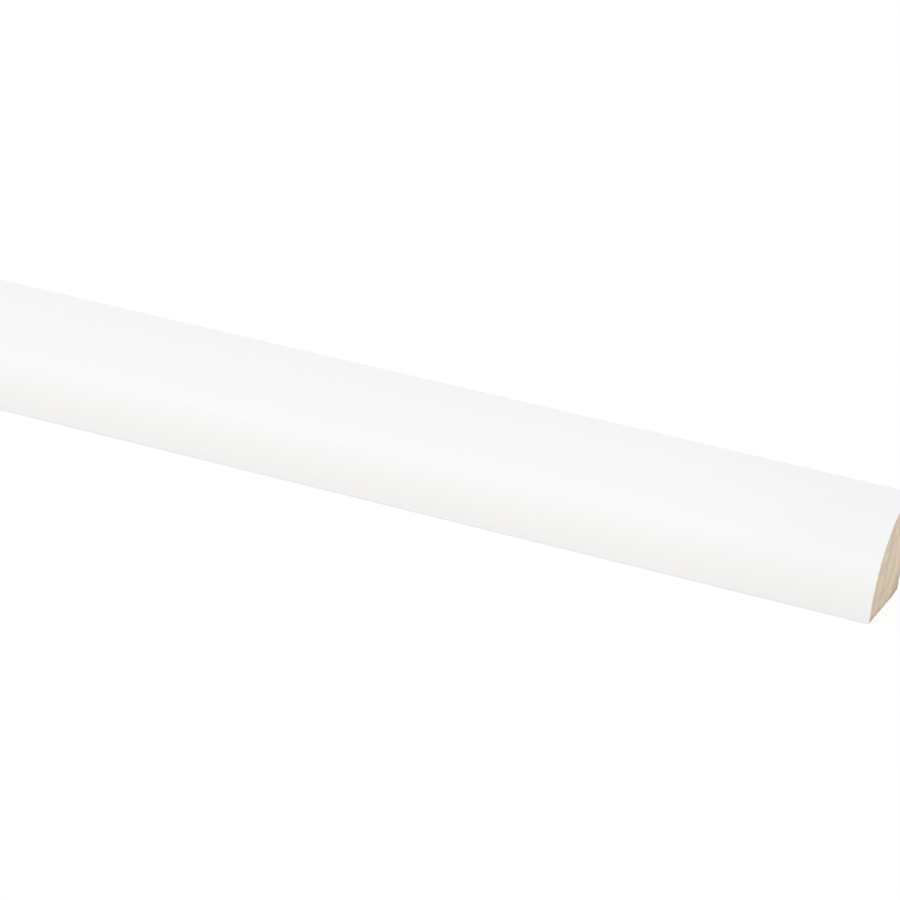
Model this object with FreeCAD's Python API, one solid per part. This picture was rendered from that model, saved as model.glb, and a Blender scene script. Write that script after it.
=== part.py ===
import FreeCAD
import Part
import os

# Quarter round moulding: one length of pine, run through a moulder to a quarter-circle section
# and sawn square at both ends. It lies on its sole, as it is nailed along the foot of a wall.
# X runs along the length, Y from the rounded face to the flat back, Z up from the sole.
# The origin is in the middle of the sole.

# Driving dimensions, in millimetres
LENGTH = 914.4           # 36 in, a pre-cut stick
LEG = 19.05              # 3/4 in, the width of the sole and the height of the back
TOE_FLAT = 1.5875        # 1/16 in, the narrow square edge left at each end of the curve
ARRIS_RADIUS = 0.25      # the three square corners, eased by sanding before the paint goes on

# Planes of the section
FRONT = -LEG / 2
BACK = LEG / 2
SOLE = 0.0
TOP = SOLE + LEG

# The curve is a quarter circle that runs smoothly into both square edges
CURVE_RADIUS = LEG - TOE_FLAT
CURVE_CENTRE_Y = BACK - TOE_FLAT
CURVE_CENTRE_Z = SOLE + TOE_FLAT
CURVE_FROM_DEGREES = 90
CURVE_TO_DEGREES = 180

ALONG = FreeCAD.Vector(LENGTH, 0, 0)
SAME_PLACE = 1e-6        # two points nearer than this are one point


def section_point(y, z):
    """A point of the section, drawn at the left end."""
    return FreeCAD.Vector(-LENGTH / 2, y, z)


HEEL = section_point(BACK, SOLE)
FRONT_TOE = section_point(FRONT, SOLE)
TOP_TOE = section_point(BACK, TOP)


def section():
    """The moulder's profile: sole, front edge, curve, top edge and back."""
    curve_foot = section_point(FRONT, CURVE_CENTRE_Z)
    curve_head = section_point(CURVE_CENTRE_Y, TOP)
    curve_centre = section_point(CURVE_CENTRE_Y, CURVE_CENTRE_Z)
    curve = Part.makeCircle(CURVE_RADIUS, curve_centre, ALONG, CURVE_FROM_DEGREES, CURVE_TO_DEGREES)
    outline = [
        Part.makeLine(HEEL, FRONT_TOE),
        Part.makeLine(FRONT_TOE, curve_foot),
        curve,
        Part.makeLine(curve_head, TOP_TOE),
        Part.makeLine(TOP_TOE, HEEL),
    ]
    return Part.Face(Part.Wire(Part.__sortEdges__(outline)))


def runs_along(edge, corner):
    """Whether an edge runs the length of the stick at one corner of the section."""
    ends = [vertex.Point for vertex in edge.Vertexes]
    return all(abs(end.y - corner.y) < SAME_PLACE and abs(end.z - corner.z) < SAME_PLACE for end in ends)


def quarter_round():
    """The stick as sold: the section run to length, with its square corners eased."""
    stick = section().extrude(ALONG)
    arrises = [
        edge
        for edge in stick.Edges
        for corner in (HEEL, FRONT_TOE, TOP_TOE)
        if runs_along(edge, corner)
    ]
    return stick.makeFillet(ARRIS_RADIUS, arrises)


os.makedirs("parts", exist_ok=True)
quarter_round().exportStep("parts/quarter_round.step")
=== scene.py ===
import bmesh
import bpy
import math
from mathutils import Matrix, Vector, noise


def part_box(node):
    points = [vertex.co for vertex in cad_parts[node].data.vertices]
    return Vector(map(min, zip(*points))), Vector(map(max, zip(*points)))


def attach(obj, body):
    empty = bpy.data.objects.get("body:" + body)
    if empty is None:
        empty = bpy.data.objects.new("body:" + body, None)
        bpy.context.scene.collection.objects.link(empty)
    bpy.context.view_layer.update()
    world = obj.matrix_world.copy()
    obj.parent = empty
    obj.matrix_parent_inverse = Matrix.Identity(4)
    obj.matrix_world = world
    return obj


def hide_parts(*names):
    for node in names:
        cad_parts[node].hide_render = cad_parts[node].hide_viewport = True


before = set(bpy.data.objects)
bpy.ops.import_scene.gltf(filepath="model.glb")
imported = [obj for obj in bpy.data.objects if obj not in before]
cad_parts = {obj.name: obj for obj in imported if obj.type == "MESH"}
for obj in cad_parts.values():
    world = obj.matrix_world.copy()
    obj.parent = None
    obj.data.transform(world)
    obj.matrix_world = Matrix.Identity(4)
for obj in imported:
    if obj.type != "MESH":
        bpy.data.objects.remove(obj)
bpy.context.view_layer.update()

# The quarter round: one stick of pine, run through a moulder to its section, sanded, and sprayed
# white on its rounded side. The sole and the back, which are glued and nailed, stay bare. Both
# ends were sawn square after the painting, so they show the wood too.
MM = 0.001
TOE_FLAT = 1.5875 * MM      # the narrow square edge at each end of the curve
ARRIS_RADIUS = 0.25 * MM    # the three long corners, eased by sanding
stick_low, stick_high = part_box("quarter_round")
LEFT_END = stick_low.x
RIGHT_END = stick_high.x
FRONT = stick_low.y
BACK = stick_high.y
SOLE = stick_low.z
TOP = stick_high.z
LENGTH = RIGHT_END - LEFT_END

# The section has four sides with as many steps each: the sole, the lower and the upper half of
# the curve, and the back. They meet at the middle of each eased corner and halfway up the curve.
SIDE_STEPS = 96
ARRIS_STEPS = 6
TOE_STEPS = 6


def straight(start, end, steps):
    """Points along a straight run of the section, without its last one."""
    return [start.lerp(end, step / steps) for step in range(steps)]


def rounded(centre, radius, from_degrees, to_degrees, steps):
    """Points along an arc of the section, without its last one."""
    points = []
    for step in range(steps):
        turn = math.radians(from_degrees + (to_degrees - from_degrees) * step / steps)
        points.append(centre + radius * Vector((math.cos(turn), math.sin(turn))))
    return points


def section_runs():
    """The section's runs and their finish: from the heel along the sole, the curve and the back."""
    flat_steps = SIDE_STEPS - ARRIS_STEPS
    curve_steps = 2 * SIDE_STEPS - ARRIS_STEPS - 2 * TOE_STEPS
    ease = ARRIS_RADIUS
    curve_centre = Vector((BACK - TOE_FLAT, SOLE + TOE_FLAT))
    curve_radius = curve_centre.x - FRONT
    return [
        ("bare", straight(Vector((BACK - ease, SOLE)), Vector((FRONT + ease, SOLE)), flat_steps)),
        ("painted", rounded(Vector((FRONT + ease, SOLE + ease)), ease, 270, 180, ARRIS_STEPS)),
        ("painted", straight(Vector((FRONT, SOLE + ease)), Vector((FRONT, SOLE + TOE_FLAT)), TOE_STEPS)),
        ("painted", rounded(curve_centre, curve_radius, 180, 90, curve_steps)),
        ("painted", straight(Vector((BACK - TOE_FLAT, TOP)), Vector((BACK - ease, TOP)), TOE_STEPS)),
        ("painted", rounded(Vector((BACK - ease, TOP - ease)), ease, 90, 0, ARRIS_STEPS)),
        ("bare", straight(Vector((BACK, TOP - ease)), Vector((BACK, SOLE + ease)), flat_steps)),
        ("bare", rounded(Vector((BACK - ease, SOLE + ease)), ease, 0, -90, ARRIS_STEPS)),
    ]


def from_middle_of_heel(items):
    """A list that follows the runs, turned so that it starts at the middle of the heel's rounding."""
    half = ARRIS_STEPS // 2
    return items[-half:] + items[:-half]


runs = section_runs()
outline = from_middle_of_heel([point for finish, run in runs for point in run])
painted = from_middle_of_heel([finish == "painted" for finish, run in runs for point in run])
POINTS_AROUND = len(outline)


def outward(index):
    """The direction that the stick's surface faces at a point of the outline."""
    ahead = outline[(index + 1) % POINTS_AROUND] - outline[index - 1]
    return Vector((-ahead.y, ahead.x)).normalized()


# Growth rings. The heart of the tree lies well behind the back, so they cross the ends upright.
PITH = Vector((78 * MM, -12 * MM))
RING_SPACING = 4.4 * MM
RING_UNEVENNESS = 0.13
UNEVENNESS_WAVE = 4.6 * MM
RING_WANDER = 1.1 * MM
WANDER_ALONG = 230 * MM
WANDER_ACROSS = 12 * MM


def ring_age(x, point):
    """Years from the heart of the tree. The wood's colour and its relief follow it."""
    place = Vector((x / WANDER_ALONG, point.x / WANDER_ACROSS, point.y / WANDER_ACROSS))
    radius = (point - PITH).length + RING_WANDER * noise.noise(place)
    return radius / RING_SPACING + RING_UNEVENNESS * math.sin(radius / UNEVENNESS_WAVE)


# The saw blade turns above the stick. Its teeth leave long shallow scratches across the end, the
# hard late wood a little proud, and torn fibres along the sole and the back, where they come out.
# The heel, which they leave last, breaks away a little.
SAW_CENTRE = Vector((-35 * MM, 120 * MM))
SCRATCH_WIDTH = 0.55 * MM
SCRATCH_LENGTH = 9 * MM
SCRATCH_DEPTH = 0.03 * MM
LATE_WOOD_FROM = 0.6
LATE_WOOD_PROUD = 0.045 * MM
TEAR_DEPTH = 0.12 * MM
TEAR_WIDTH = 0.9 * MM
TEAR_GRAIN = 0.7 * MM
TEAR_SPACING = 5 * MM
TEAR_SHARE = 0.25
HEEL = Vector((BACK, SOLE))
BREAKOUT_DEPTH = 0.22 * MM
BREAKOUT_REACH = 5 * MM


def saw_scratch(end, point):
    """The saw's scratches on an end, from none at 0 to the deepest at 1."""
    arm = point - SAW_CENTRE
    along = arm.length * math.atan2(arm.y, arm.x)
    place = Vector((arm.length / SCRATCH_WIDTH, along / SCRATCH_LENGTH, end / SCRATCH_LENGTH))
    return min(1.0, max(0.0, 0.5 + noise.noise(place)))


def cut_depth(end, point):
    """How far the sawn surface lies inside the stick's square end, at a point of the section."""
    late = max(0.0, ring_age(end, point) % 1.0 - LATE_WOOD_FROM) / (1.0 - LATE_WOOD_FROM)
    place = Vector((end, point.x, point.y))
    fibres = noise.noise(place / TEAR_GRAIN) + noise.noise(place / TEAR_SPACING)
    to_bare_edge = min(point.y - SOLE, BACK - point.x)
    torn = max(0.0, 1.0 - to_bare_edge / TEAR_WIDTH) ** 2 * max(0.0, TEAR_SHARE + fibres)
    broken = max(0.0, 1.0 - (point - HEEL).length / BREAKOUT_REACH) ** 2
    cut = LATE_WOOD_PROUD * (1.0 - late) + SCRATCH_DEPTH * saw_scratch(end, point)
    return cut + TEAR_DEPTH * torn + BREAKOUT_DEPTH * broken


# Cross-sections along the stick: evenly spaced ones, as many in each quarter of the length, and
# closer ones behind each saw cut, where the cut edge is eased and its relief fades away. Sanding
# leaves the rounded side very slightly uneven.
QUARTERS = 4
STATIONS_PER_QUARTER = 28
CLOSE_STATIONS = 7
EASED_EDGE = 0.08 * MM
RELIEF_REACH = 6 * MM
SANDING_DEPTH = 0.012 * MM
SANDING_ALONG = 70 * MM
SANDING_ACROSS = 6 * MM


def station_distances():
    """Where the cross-sections stand, as distances from the left end."""
    count = QUARTERS * STATIONS_PER_QUARTER
    even = [LENGTH * step / count for step in range(count + 1)]
    close = [EASED_EDGE * 2 ** step for step in range(CLOSE_STATIONS)]
    return sorted(even + close + [LENGTH - distance for distance in close])


def station_points(distance):
    """One cross-section. Close to an end it follows the relief of the saw cut."""
    to_end = min(distance, LENGTH - distance)
    near_left = max(0.0, 1.0 - distance / RELIEF_REACH)
    near_right = max(0.0, 1.0 - (LENGTH - distance) / RELIEF_REACH)
    points = []
    for index, point in enumerate(outline):
        x = LEFT_END + distance
        if near_left:
            x += near_left * cut_depth(LEFT_END, point)
        if near_right:
            x -= near_right * cut_depth(RIGHT_END, point)
        hollow = max(0.0, EASED_EDGE - to_end)
        if painted[index]:
            place = Vector((x / SANDING_ALONG, point.x / SANDING_ACROSS, point.y / SANDING_ACROSS))
            hollow += SANDING_DEPTH * (0.5 + 0.5 * noise.noise(place))
        surface = point - hollow * outward(index)
        points.append(Vector((x, surface.x, surface.y)))
    return points


# The bake map: the sides in four rows, one for each quarter of the length, unrolled from the
# heel round the section, and above them the two ends, larger, because their figure is finer.
MAP_MARGIN = 0.008
ROW_WIDTH = 1 - 2 * MAP_MARGIN
ROW_HEIGHT = 0.19
ROW_PITCH = 0.2
END_SIZE = 0.18
END_PLACES = {"left": Vector((0.02, 0.81)), "right": Vector((0.3, 0.81))}
lengths_round = [0.0]
for index in range(POINTS_AROUND):
    step = outline[(index + 1) % POINTS_AROUND] - outline[index]
    lengths_round.append(lengths_round[-1] + step.length)
GIRTH = lengths_round[-1]


def row_place(quarter, distance, length_round):
    """Where a point of the sides lies on the bake map, in the row of one quarter of the stick."""
    along = QUARTERS * distance / LENGTH - quarter
    up = quarter * ROW_PITCH + ROW_HEIGHT * length_round / GIRTH
    return MAP_MARGIN + ROW_WIDTH * along, MAP_MARGIN + up


# The stick's mesh: its sides, a narrow band round each end where the saw cut through the paint and
# the eased corners, and a fine grid over the end inside that band.
PAINT, BARE_WOOD, SAWN_WOOD = range(3)
BAND_WIDTH = 0.2 * MM       # less than ARRIS_RADIUS, so that the band can follow the eased corners
SHARP_EDGE = math.radians(40)
stick = bmesh.new()
ring_layer = stick.verts.layers.float.new("ring_age")
scratch_layer = stick.verts.layers.float.new("saw_scratch")
map_layer = stick.loops.layers.uv.new("OFBake")


def add_vertex(place):
    """A vertex of the stick that knows the age of the wood there."""
    vertex = stick.verts.new(place)
    vertex[ring_layer] = ring_age(place.x, place.yz)
    return vertex


def add_face(vertices, material, places):
    """A face of the stick with its finish and its corners' places on the bake map."""
    face = stick.faces.new(vertices)
    face.material_index = material
    face.smooth = True
    for loop, place in zip(face.loops, places):
        loop[map_layer].uv = place


def add_sides():
    """The long sides. Gives back their vertices round the left end and round the right one."""
    distances = station_distances()
    stations = [[add_vertex(point) for point in station_points(distance)] for distance in distances]
    for near, far, start, end in zip(stations, stations[1:], distances, distances[1:]):
        quarter = int(QUARTERS * (start + end) / 2 / LENGTH)
        for index in range(POINTS_AROUND):
            after = (index + 1) % POINTS_AROUND
            corners = (near[index], far[index], far[after], near[after])
            places = (
                row_place(quarter, start, lengths_round[index]),
                row_place(quarter, end, lengths_round[index]),
                row_place(quarter, end, lengths_round[index + 1]),
                row_place(quarter, start, lengths_round[index + 1]),
            )
            add_face(corners, PAINT if painted[index] else BARE_WOOD, places)
    return stations[0], stations[-1]


def add_end(rim, end, side):
    """A sawn end: the band inside its rim of vertices, and the grid inside the band."""
    inward = 1 if side == "left" else -1
    inner = [point - BAND_WIDTH * outward(index) for index, point in enumerate(outline)]

    def end_vertex(point):
        """A vertex of the sawn surface, at a point of the section."""
        vertex = add_vertex(Vector((end + inward * cut_depth(end, point), point.x, point.y)))
        vertex[scratch_layer] = saw_scratch(end, point)
        return vertex

    def end_face(vertices, material):
        """A face of this end, turned outward."""
        places = []
        for vertex in vertices:
            on_end = Vector((vertex.co.y - FRONT, vertex.co.z - SOLE)) / (BACK - FRONT)
            places.append(END_PLACES[side] + END_SIZE * on_end)
        if side == "left":
            vertices, places = vertices[::-1], places[::-1]
        add_face(vertices, material, places)

    edge = [end_vertex(point) for point in inner]
    for index in range(POINTS_AROUND):
        after = (index + 1) % POINTS_AROUND
        quad = (rim[index], edge[index], edge[after], rim[after])
        end_face(quad, PAINT if painted[index] else SAWN_WOOD)

    def grid_point(across, up):
        """A point of the section, placed between the sole, the back and the two halves of the curve."""
        u, v = across / SIDE_STEPS, up / SIDE_STEPS
        sole, upper = inner[across], inner[3 * SIDE_STEPS - across]
        back, lower = inner[-up], inner[SIDE_STEPS + up]
        heel, toe, middle, top = (inner[corner * SIDE_STEPS] for corner in range(4))
        corners = (1 - v) * ((1 - u) * heel + u * toe) + v * ((1 - u) * top + u * middle)
        return (1 - v) * sole + v * upper + (1 - u) * back + u * lower - corners

    def grid_vertex(across, up):
        """A vertex of the grid, which on the grid's border is one of the band's."""
        if up == 0:
            return edge[across]
        if up == SIDE_STEPS:
            return edge[3 * SIDE_STEPS - across]
        if across == 0:
            return edge[-up]
        if across == SIDE_STEPS:
            return edge[SIDE_STEPS + up]
        return end_vertex(grid_point(across, up))

    steps = range(SIDE_STEPS + 1)
    columns = [[grid_vertex(across, up) for up in steps] for across in steps]
    for column, next_column in zip(columns, columns[1:]):
        for up in range(SIDE_STEPS):
            quad = (column[up], column[up + 1], next_column[up + 1], next_column[up])
            end_face(quad, SAWN_WOOD)


left_rim, right_rim = add_sides()
add_end(left_rim, LEFT_END, "left")
add_end(right_rim, RIGHT_END, "right")
stick_mesh = bpy.data.meshes.new("painted_quarter_round")
stick.to_mesh(stick_mesh)
stick.free()
stick_mesh.set_sharp_from_angle(angle=SHARP_EDGE)
quarter_round = bpy.data.objects.new("painted_quarter_round", stick_mesh)
bpy.context.scene.collection.objects.link(quarter_round)

# The Mix node's sockets for colours, which have the same names as its sockets for numbers
MIX_SHARE, MIX_FIRST, MIX_SECOND = 0, 6, 7
MIX_RESULT = 2


def add_node(tree, kind, inputs=None, **options):
    """Adds a shader node, sets its options, and fills its inputs with values or links."""
    made = tree.nodes.new(kind)
    for name, value in options.items():
        setattr(made, name, value)
    for name, value in (inputs or {}).items():
        if isinstance(value, bpy.types.NodeSocket):
            tree.links.new(value, made.inputs[name])
        else:
            made.inputs[name].default_value = value
    return made


def calculate(tree, operation, *values):
    """The result of a calculation on values and links."""
    return add_node(tree, "ShaderNodeMath", dict(enumerate(values)), operation=operation).outputs[0]


def opaque(colour):
    """A colour for a node's input: a link as it is, or red, green and blue with full alpha."""
    return colour if isinstance(colour, bpy.types.NodeSocket) else (*colour, 1)


def mix_colours(tree, share, first, second, way="MIX"):
    """A share of the second colour in the first, or laid over it in another way."""
    inputs = {MIX_SHARE: share, MIX_FIRST: opaque(first), MIX_SECOND: opaque(second)}
    return add_node(tree, "ShaderNodeMix", inputs, data_type="RGBA", blend_type=way).outputs[MIX_RESULT]


def shaded(tree, colour, shade):
    """A colour darkened by a shade, where 1 leaves it as it is."""
    return mix_colours(tree, 1.0, colour, shade, "MULTIPLY")


def ramp(tree, value, start, end, low, high):
    """A value that goes smoothly from low at start to high at end."""
    inputs = {"Value": value, "From Min": start, "From Max": end, "To Min": low, "To Max": high}
    return add_node(tree, "ShaderNodeMapRange", inputs, interpolation_type="SMOOTHSTEP").outputs[0]


def grain_noise(tree, along, across, detail=2.0):
    """Noise with features of the given size along the stick and across it."""
    place = add_node(tree, "ShaderNodeTexCoord").outputs["Object"]
    scale = (1 / along, 1 / across, 1 / across)
    stretched = add_node(tree, "ShaderNodeMapping", {"Vector": place, "Scale": scale}).outputs["Vector"]
    inputs = {"Vector": stretched, "Scale": 1.0, "Detail": detail}
    return add_node(tree, "ShaderNodeTexNoise", inputs).outputs["Fac"]


def stick_place(tree):
    """Where a point of the surface is on the stick, as X, Y and Z."""
    place = add_node(tree, "ShaderNodeTexCoord").outputs["Object"]
    return add_node(tree, "ShaderNodeSeparateXYZ", {"Vector": place}).outputs


def add_bumps(tree, shader, *bumps):
    """Lays bumps on a surface, one over the other. Each is a height from 0 to 1 and its real size."""
    under = {}
    for height, size in bumps:
        bump = add_node(tree, "ShaderNodeBump", {"Height": height, "Distance": size, **under})
        under = {"Normal": bump.outputs["Normal"]}
    tree.links.new(under["Normal"], shader.inputs["Normal"])


def new_material(name):
    """A material with its node tree and its shader."""
    material = bpy.data.materials.new(name)
    material.use_nodes = True
    return material, material.node_tree, material.node_tree.nodes["Principled BSDF"]


# Pine grain: pale early wood that darkens through the year to a thin line of late wood, with
# fibres and short brown resin canals that run the length of the stick. On a sawn end the fibres
# and the canals show as fine dots.
FIBRE_LENGTH, FIBRE_WIDTH = 18 * MM, 0.22 * MM
STREAK_LENGTH, STREAK_WIDTH = 130 * MM, 3 * MM
CANAL_LENGTH, CANAL_WIDTH = 5 * MM, 0.16 * MM
CANALS_FROM, CANALS_FULL = 0.68, 0.76
CANAL_SHADE = 0.72
RING_FRAY = 0.14
DARKENS_FROM, DARKEST_AT = 0.36, 0.92
GROWTH_STOPS = 0.95


def pine_grain_group():
    """The wood's colour, with its late wood as a mask and the height of its fibres."""
    group = bpy.data.node_groups.new("pine_grain", "ShaderNodeTree")
    for name in ("Early Wood", "Late Wood"):
        group.interface.new_socket(name, in_out="INPUT", socket_type="NodeSocketColor")
    for name in ("Ring Contrast", "Fibre Contrast"):
        group.interface.new_socket(name, in_out="INPUT", socket_type="NodeSocketFloat")
    group.interface.new_socket("Colour", in_out="OUTPUT", socket_type="NodeSocketColor")
    for name in ("Late Wood Mask", "Fibre Height"):
        group.interface.new_socket(name, in_out="OUTPUT", socket_type="NodeSocketFloat")
    given = group.nodes.new("NodeGroupInput").outputs
    fibres = grain_noise(group, FIBRE_LENGTH, FIBRE_WIDTH, detail=4.0)
    streaks = grain_noise(group, STREAK_LENGTH, STREAK_WIDTH)
    canal_noise = grain_noise(group, CANAL_LENGTH, CANAL_WIDTH, detail=0.0)
    canals = ramp(group, canal_noise, CANALS_FROM, CANALS_FULL, 0.0, 1.0)
    age = add_node(group, "ShaderNodeAttribute", attribute_name="ring_age").outputs["Fac"]
    season = calculate(group, "FRACT", calculate(group, "MULTIPLY_ADD", fibres, RING_FRAY, age))
    darkening = ramp(group, season, DARKENS_FROM, DARKEST_AT, 0.0, 1.0)
    growing = ramp(group, season, GROWTH_STOPS, 1.0, 1.0, 0.0)
    late = calculate(group, "MULTIPLY", darkening, growing)
    ring_share = calculate(group, "MULTIPLY", late, given["Ring Contrast"])
    ringed = mix_colours(group, ring_share, given["Early Wood"], given["Late Wood"])
    uneven = calculate(group, "SUBTRACT", calculate(group, "ADD", fibres, streaks), 1.0)
    dotted = calculate(group, "MULTIPLY_ADD", canals, CANAL_SHADE - 1.0, uneven)
    shade = calculate(group, "MULTIPLY_ADD", dotted, given["Fibre Contrast"], 1.0)
    results = group.nodes.new("NodeGroupOutput").inputs
    group.links.new(shaded(group, ringed, shade), results["Colour"])
    group.links.new(late, results["Late Wood Mask"])
    group.links.new(fibres, results["Fibre Height"])
    return group


pine_grain = pine_grain_group()


def add_grain(tree, early, late, ring_contrast, fibre_contrast):
    """Places the pine grain in a material, with that surface's own colours."""
    grain = add_node(tree, "ShaderNodeGroup", node_tree=pine_grain)
    grain.inputs["Early Wood"].default_value = opaque(early)
    grain.inputs["Late Wood"].default_value = opaque(late)
    grain.inputs["Ring Contrast"].default_value = ring_contrast
    grain.inputs["Fibre Contrast"].default_value = fibre_contrast
    return grain.outputs


# Satin acrylic paint with a spray coat's fine orange peel. The grain is just felt through it, and
# its gloss is a little uneven. Towards both ends its colour is faintly darkened, a painted shade,
# and the saw chipped its edge here and there.
WHITE = (0.925, 0.919, 0.912)
WARM_WHITE = (0.918, 0.909, 0.897)
FRESH_PINE = (0.66, 0.55, 0.41)
GLOSSIEST, DULLEST = 0.28, 0.36
GLOSS_ALONG, GLOSS_ACROSS = 60 * MM, 9 * MM
GLOSS_LOW, GLOSS_HIGH = 0.3, 0.7
END_SHADE_REACH = 45 * MM
PAINTED_END_SHADE = 0.977
PEEL_SIZE = 1.6 * MM
PEEL_HEIGHT = 0.004 * MM
GRAIN_HEIGHT = 0.006 * MM
CHIP_DEPTH = 0.6 * MM
CHIP_SIZE = 0.6 * MM
CHIP_SPACING = 4 * MM
CHIPS_FROM = 1.1
CHIP_EDGE = 0.06 * MM


def white_paint():
    """The finish of the rounded side."""
    material, tree, shader = new_material("satin_white_paint")
    grain = add_grain(tree, WHITE, WARM_WHITE, ring_contrast=0.35, fibre_contrast=0.01)
    from_middle = calculate(tree, "ABSOLUTE", stick_place(tree)["X"])
    to_end = calculate(tree, "SUBTRACT", RIGHT_END, from_middle)
    # Painted shade: the paint's colour darkens a little towards both ends.
    painted_end_shade = ramp(tree, to_end, 0.0, END_SHADE_REACH, PAINTED_END_SHADE, 1.0)
    coat = shaded(tree, grain["Colour"], painted_end_shade)
    ragged = grain_noise(tree, CHIP_SIZE, CHIP_SIZE, detail=4.0)
    patchy = grain_noise(tree, CHIP_SPACING, CHIP_SPACING)
    chip = calculate(tree, "SUBTRACT", calculate(tree, "ADD", ragged, patchy), CHIPS_FROM)
    past_chip = calculate(tree, "MULTIPLY_ADD", chip, -CHIP_DEPTH, to_end)
    chipped = ramp(tree, past_chip, 0.0, CHIP_EDGE, 1.0, 0.0)
    tree.links.new(mix_colours(tree, chipped, coat, FRESH_PINE), shader.inputs["Base Color"])
    gloss = grain_noise(tree, GLOSS_ALONG, GLOSS_ACROSS)
    dullness = ramp(tree, gloss, GLOSS_LOW, GLOSS_HIGH, GLOSSIEST, DULLEST)
    tree.links.new(dullness, shader.inputs["Roughness"])
    peel = grain_noise(tree, PEEL_SIZE, PEEL_SIZE)
    add_bumps(tree, shader, (peel, PEEL_HEIGHT), (grain["Late Wood Mask"], GRAIN_HEIGHT))
    return material


# Bare pine as the moulder's knives leave it, in fine even ripples, with a speckled fringe of
# overspray along both toes.
PLANED_EARLY = (0.72, 0.57, 0.39)
PLANED_LATE = (0.50, 0.31, 0.155)
EARLY_WOOD_ROUGHNESS, LATE_WOOD_ROUGHNESS = 0.68, 0.5
DROPLET_SIZE = 0.3 * MM
OVERSPRAY_REACH = 2.6 * MM
SPRAY_AT_TOE = 0.5
THINNEST_SPRAY, THICKEST_SPRAY = 0.72, 0.86
OVERSPRAY_COVER = 0.95
KNIFE_PITCH = 1.6 * MM
KNIFE_HEIGHT = 0.003 * MM
PLANED_FIBRE_HEIGHT = 0.03 * MM


def planed_pine():
    """The finish of the sole and the back."""
    material, tree, shader = new_material("planed_pine")
    grain = add_grain(tree, PLANED_EARLY, PLANED_LATE, ring_contrast=0.85, fibre_contrast=0.6)
    place = stick_place(tree)
    from_front = calculate(tree, "SUBTRACT", place["Y"], FRONT)
    from_top = calculate(tree, "SUBTRACT", TOP, place["Z"])
    from_paint = calculate(tree, "MINIMUM", from_front, from_top)
    spray = ramp(tree, from_paint, 0.0, OVERSPRAY_REACH, SPRAY_AT_TOE, 0.0)
    droplets = grain_noise(tree, DROPLET_SIZE, DROPLET_SIZE, detail=1.0)
    wet = calculate(tree, "ADD", spray, droplets)
    oversprayed = ramp(tree, wet, THINNEST_SPRAY, THICKEST_SPRAY, 0.0, OVERSPRAY_COVER)
    tree.links.new(mix_colours(tree, oversprayed, grain["Colour"], WHITE), shader.inputs["Base Color"])
    late_wood = grain["Late Wood Mask"]
    roughness = ramp(tree, late_wood, 0.0, 1.0, EARLY_WOOD_ROUGHNESS, LATE_WOOD_ROUGHNESS)
    tree.links.new(roughness, shader.inputs["Roughness"])
    knife_turn = calculate(tree, "MULTIPLY", place["X"], math.tau / KNIFE_PITCH)
    knife_marks = calculate(tree, "SINE", knife_turn)
    add_bumps(tree, shader, (knife_marks, KNIFE_HEIGHT), (grain["Fibre Height"], PLANED_FIBRE_HEIGHT))
    return material


# Pine end grain, greyer than the planed wood and fuzzy from the saw. Its colour is darker along
# the sole and the back edges and most at the heel, and painted shadow darkens the saw's scratches.
SAWN_EARLY = (0.69, 0.584, 0.452)
SAWN_LATE = (0.59, 0.468, 0.33)
SAWN_ROUGHNESS, FUZZ_ROUGHNESS = 0.8, 0.92
DARK_EDGE_FROM, DARK_EDGE_TO = 0.2 * MM, 1.4 * MM
DARK_EDGE_TONE = 0.8
HEEL_REACH = 9.5 * MM
HEEL_SHADE = 0.7
SCRATCH_FROM, SCRATCH_FULL = 0.35, 0.9
SCRATCH_SHADE = 0.9
SAWN_FIBRE_HEIGHT = 0.05 * MM


def sawn_pine():
    """The finish of both ends."""
    material, tree, shader = new_material("sawn_pine")
    grain = add_grain(tree, SAWN_EARLY, SAWN_LATE, ring_contrast=0.6, fibre_contrast=0.35)
    place = stick_place(tree)
    from_sole = calculate(tree, "SUBTRACT", place["Z"], SOLE)
    from_back = calculate(tree, "SUBTRACT", BACK, place["Y"])
    from_edge = calculate(tree, "MINIMUM", from_sole, from_back)
    from_heel = calculate(tree, "ADD", from_sole, from_back)
    # The end's colour is made darker along the sole and back edges, and most towards the heel.
    darker_edge = ramp(tree, from_edge, DARK_EDGE_FROM, DARK_EDGE_TO, DARK_EDGE_TONE, 1.0)
    darker_heel = ramp(tree, from_heel, 0.0, HEEL_REACH, HEEL_SHADE, 1.0)
    scratch = add_node(tree, "ShaderNodeAttribute", attribute_name="saw_scratch").outputs["Fac"]
    # Painted shadow: the end's colour darkens in the saw's scratches.
    scratch_shadow = ramp(tree, scratch, SCRATCH_FROM, SCRATCH_FULL, 1.0, SCRATCH_SHADE)
    shade = calculate(tree, "MULTIPLY", calculate(tree, "MULTIPLY", darker_edge, darker_heel), scratch_shadow)
    tree.links.new(shaded(tree, grain["Colour"], shade), shader.inputs["Base Color"])
    roughness = ramp(tree, scratch, SCRATCH_FROM, SCRATCH_FULL, SAWN_ROUGHNESS, FUZZ_ROUGHNESS)
    tree.links.new(roughness, shader.inputs["Roughness"])
    add_bumps(tree, shader, (grain["Fibre Height"], SAWN_FIBRE_HEIGHT))
    return material


# In the order of PAINT, BARE_WOOD and SAWN_WOOD
for finish in (white_paint(), planed_pine(), sawn_pine()):
    stick_mesh.materials.append(finish)
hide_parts("quarter_round")
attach(quarter_round, "root")

# The floor: a wide sweep of white paper under the stick. The camera sees it plain white with the
# stick's soft shadow on it, and it throws its light back on the stick as pale paper does.
FLOOR_HALF_WIDTH = 40.0
PAPER_COLOUR = (0.86, 0.84, 0.81)
SHADOW_DEPTH = 0.15
PAPER_GLOW = 0.86


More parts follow.
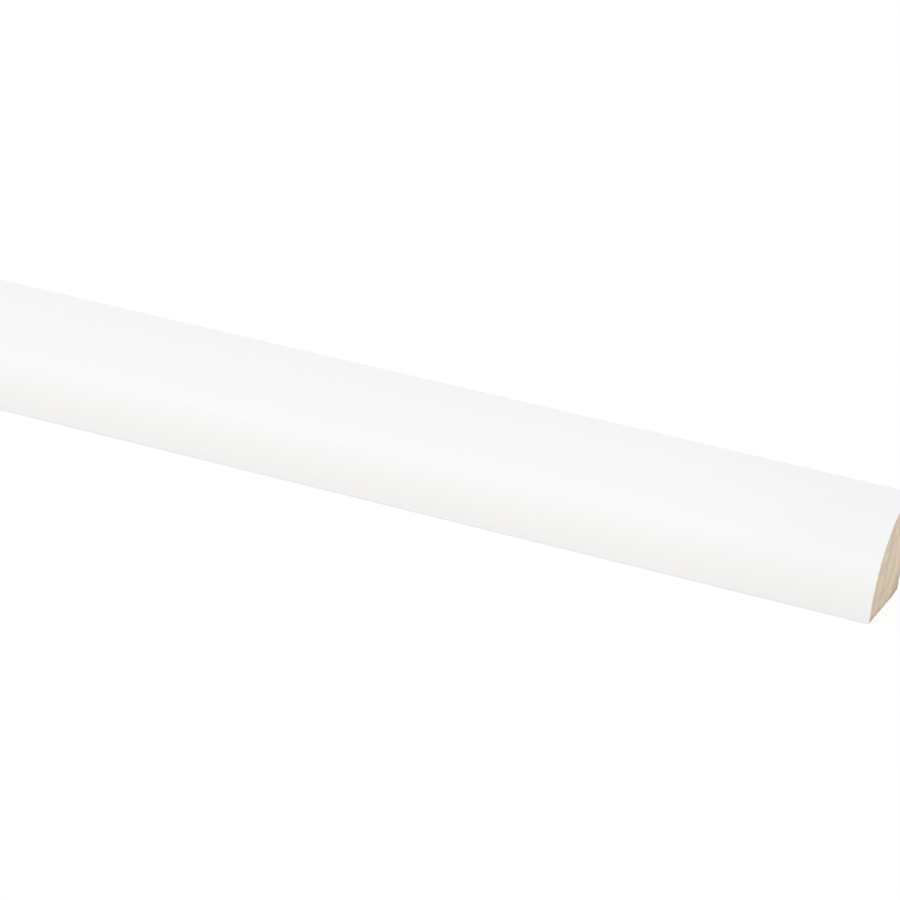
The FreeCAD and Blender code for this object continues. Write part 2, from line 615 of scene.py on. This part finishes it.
def seen_directly(tree):
    """One for rays from the camera, mirrors and glass, nought for rays that only carry light."""
    rays = add_node(tree, "ShaderNodeLightPath").outputs
    mirrored = calculate(tree, "MAXIMUM", rays["Is Glossy Ray"], rays["Is Transmission Ray"])
    return calculate(tree, "MAXIMUM", rays["Is Camera Ray"], mirrored)


def choose_seen(tree, light, seen):
    """One surface for the rays that carry light and another for those that are seen."""
    return add_node(tree, "ShaderNodeMixShader", {0: seen_directly(tree), 1: light, 2: seen}).outputs[0]


def white_paper():
    """The floor's surface. What is seen is a glow, with a little light on it that the stick shades."""
    material = bpy.data.materials.new("white_paper")
    material.use_nodes = True
    tree = material.node_tree
    tree.nodes.clear()
    lit = add_node(tree, "ShaderNodeBsdfDiffuse", {"Color": opaque(PAPER_COLOUR)}).outputs[0]
    shadow_grey = opaque([SHADOW_DEPTH] * 3)
    shadowed = add_node(tree, "ShaderNodeBsdfDiffuse", {"Color": shadow_grey}).outputs[0]
    glow = add_node(tree, "ShaderNodeEmission", {"Strength": PAPER_GLOW}).outputs[0]
    seen = add_node(tree, "ShaderNodeAddShader", {0: shadowed, 1: glow}).outputs[0]
    add_node(tree, "ShaderNodeOutputMaterial", {"Surface": choose_seen(tree, lit, seen)})
    return material


floor_corners = [
    (x * FLOOR_HALF_WIDTH, y * FLOOR_HALF_WIDTH, SOLE) for x, y in ((-1, -1), (1, -1), (1, 1), (-1, 1))
]
floor_mesh = bpy.data.meshes.new("studio_floor")
floor_mesh.from_pydata(floor_corners, [], [(0, 1, 2, 3)])
floor_mesh.materials.append(white_paper())
floor = bpy.data.objects.new("studio_floor", floor_mesh)
bpy.context.scene.collection.objects.link(floor)

# The light: an even white tent, a broad lamp in front, a small cool one beside it that draws the
# long highlight along the curve, and a soft one for the sawn end.
TENT_STRENGTH = 0.868
BACKDROP_STRENGTH = 1.0
COOL_LIGHT = (0.6, 0.76, 1.0)
PURE_WHITE = (1, 1, 1)
world = bpy.data.worlds.new("light_tent")
world.use_nodes = True
world_tree = world.node_tree
world_tree.nodes.clear()


def white_surroundings(strength):
    """Plain white all round the stick."""
    inputs = {"Color": opaque(PURE_WHITE), "Strength": strength}
    return add_node(world_tree, "ShaderNodeBackground", inputs).outputs[0]


tent = white_surroundings(TENT_STRENGTH)
backdrop = white_surroundings(BACKDROP_STRENGTH)
add_node(world_tree, "ShaderNodeOutputWorld", {"Surface": choose_seen(world_tree, tent, backdrop)})
bpy.context.scene.world = world


def direction(azimuth, elevation):
    """A direction from the stick, in degrees. Azimuth 0 faces the rounded side, and 90 the right end."""
    turn, lift = math.radians(azimuth), math.radians(elevation)
    level = math.cos(lift)
    return Vector((math.sin(turn) * level, -math.cos(turn) * level, math.sin(lift)))


def add_soft_lamp(name, strength, spread, azimuth, elevation, colour=PURE_WHITE):
    """A distant lamp as wide as its spread, in degrees."""
    lamp = bpy.data.lights.new(name, "SUN")
    lamp.energy = strength
    lamp.color = colour
    lamp.angle = math.radians(spread)
    holder = bpy.data.objects.new(name, lamp)
    holder.rotation_mode = "QUATERNION"
    holder.rotation_quaternion = direction(azimuth, elevation).to_track_quat("Z", "Y")
    bpy.context.scene.collection.objects.link(holder)


add_soft_lamp("broad_lamp", strength=0.32, spread=70, azimuth=-10, elevation=32)
add_soft_lamp("highlight_lamp", strength=0.1, spread=14, azimuth=-24, elevation=34, colour=COOL_LIGHT)
add_soft_lamp("end_lamp", strength=0.40, spread=50, azimuth=85, elevation=20)

# The camera: a long lens a little above the stick and to the right, tilted so that the stick
# falls away to the right. The frame cuts off its left part and the back of the right end.
CAMERA_TARGET = Vector((RIGHT_END - 85.73 * MM, 0.35 * MM, 9.79 * MM))
CAMERA_DISTANCE = 671 * MM
CAMERA_AZIMUTH = 20.59
CAMERA_ELEVATION = 20.71
CAMERA_ROLL = 5.92
CAMERA_LENS = 144.35
CAMERA_SENSOR = 36.0
camera = bpy.data.cameras.new("camera")
camera.lens = CAMERA_LENS
camera.sensor_width = CAMERA_SENSOR
camera_holder = bpy.data.objects.new("camera", camera)
to_camera = direction(CAMERA_AZIMUTH, CAMERA_ELEVATION)
stand = Matrix.Translation(CAMERA_TARGET + CAMERA_DISTANCE * to_camera)
level_view = to_camera.to_track_quat("Z", "Y").to_matrix().to_4x4()
tilt = Matrix.Rotation(math.radians(CAMERA_ROLL), 4, "Z")
camera_holder.matrix_world = stand @ level_view @ tilt
bpy.context.scene.collection.objects.link(camera_holder)
bpy.context.scene.camera = camera_holder
bpy.context.scene.view_settings.view_transform = "Standard"
